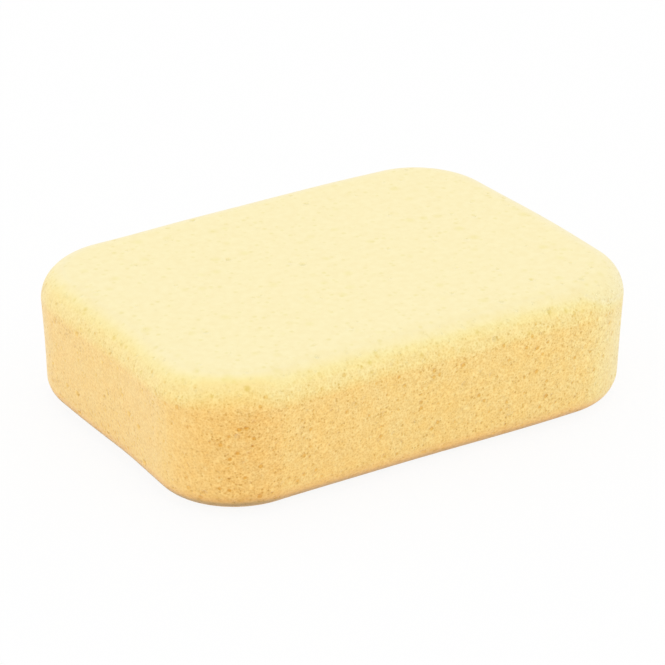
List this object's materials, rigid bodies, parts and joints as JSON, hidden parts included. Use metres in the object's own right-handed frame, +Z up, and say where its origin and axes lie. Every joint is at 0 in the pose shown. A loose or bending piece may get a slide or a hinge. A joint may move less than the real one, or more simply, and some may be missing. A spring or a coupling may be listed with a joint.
{
  "type": "cleaning sponge",
  "caption": "Large cleaning sponge: a rectangular block of open-cell foam with wide rounded corners, soft edges and scattered pores.",
  "frame": {"origin": "centre of the base, on the surface that the sponge lies on", "axes": "+X along the length, +Y across the width, +Z up out of the top face"},
  "size_m": [0.19, 0.14, 0.051],
  "materials": {
    "foam": "matte"
  },
  "bodies": {
    "root": {"sponge": "foam"}
  },
  "joints": []
}
